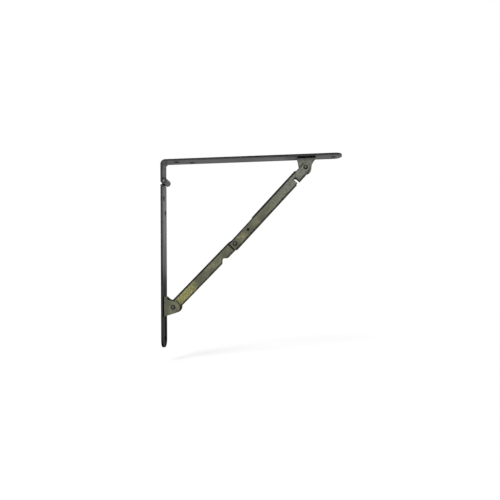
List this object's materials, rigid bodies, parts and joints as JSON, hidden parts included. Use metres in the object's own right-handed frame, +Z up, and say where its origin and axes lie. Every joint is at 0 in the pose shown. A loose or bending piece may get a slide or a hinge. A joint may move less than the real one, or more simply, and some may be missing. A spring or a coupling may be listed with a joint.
{
  "type": "folding shelf bracket",
  "caption": "Folding shelf bracket: two flat steel strips on a rolled hinge, held square by a two-link channel strut that locks past centre.",
  "frame": {"origin": "on the wall strip's back face, on its centre line, 140 mm below the hinge axis and near the strip's middle", "axes": "+X out from the wall along the open shelf strip, +Y along the wall and the hinge pin, +Z up"},
  "size_m": [0.3045, 0.0254, 0.3155],
  "materials": {
    "black_strip": "satin black coated steel",
    "yellow_zinc": "yellow passivated zinc plate, dull",
    "bright_rivet": "zinc plated, worn bright on the heads"
  },
  "bodies": {
    "wall": {"wall_leg": "black_strip", "hinge_pin": "bright_rivet", "lower_lug": "yellow_zinc", "lower_lug_rivets": "bright_rivet", "lower_pivot_rivet": "bright_rivet", "lower_pivot_spacers": "bright_rivet"},
    "arm": {"shelf_arm": "black_strip", "upper_lug": "yellow_zinc", "upper_lug_rivets": "bright_rivet", "upper_pivot_rivet": "bright_rivet"},
    "lower_strut": {"lower_link": "yellow_zinc"},
    "upper_strut": {"upper_link": "yellow_zinc", "knee_rivet": "bright_rivet", "stop_pin": "black_strip"}
  },
  "joints": [
    {"name": "arm_fold", "type": "hinge", "parent": "wall", "child": "arm", "pos_m": [0.0055, 0, 0.14], "axis": [0, 1, 0], "range_deg": [0, 90]},
    {"name": "lower_link_turn", "type": "hinge", "parent": "wall", "child": "lower_strut", "pos_m": [0.02, 0, -0.072], "axis": [0, 1, 0], "range_deg": [-43.39, 0]},
    {"name": "upper_link_turn", "type": "hinge", "parent": "arm", "child": "upper_strut", "pos_m": [0.2435, 0, 0.1555], "axis": [0, 1, 0], "range_deg": [0, 47.45]}
  ],
  "couplings": [
    {"joint": "lower_link_turn", "follows": "arm_fold", "ratio": -0.48208},
    {"joint": "upper_link_turn", "follows": "arm_fold", "ratio": 0.52715}
  ]
}
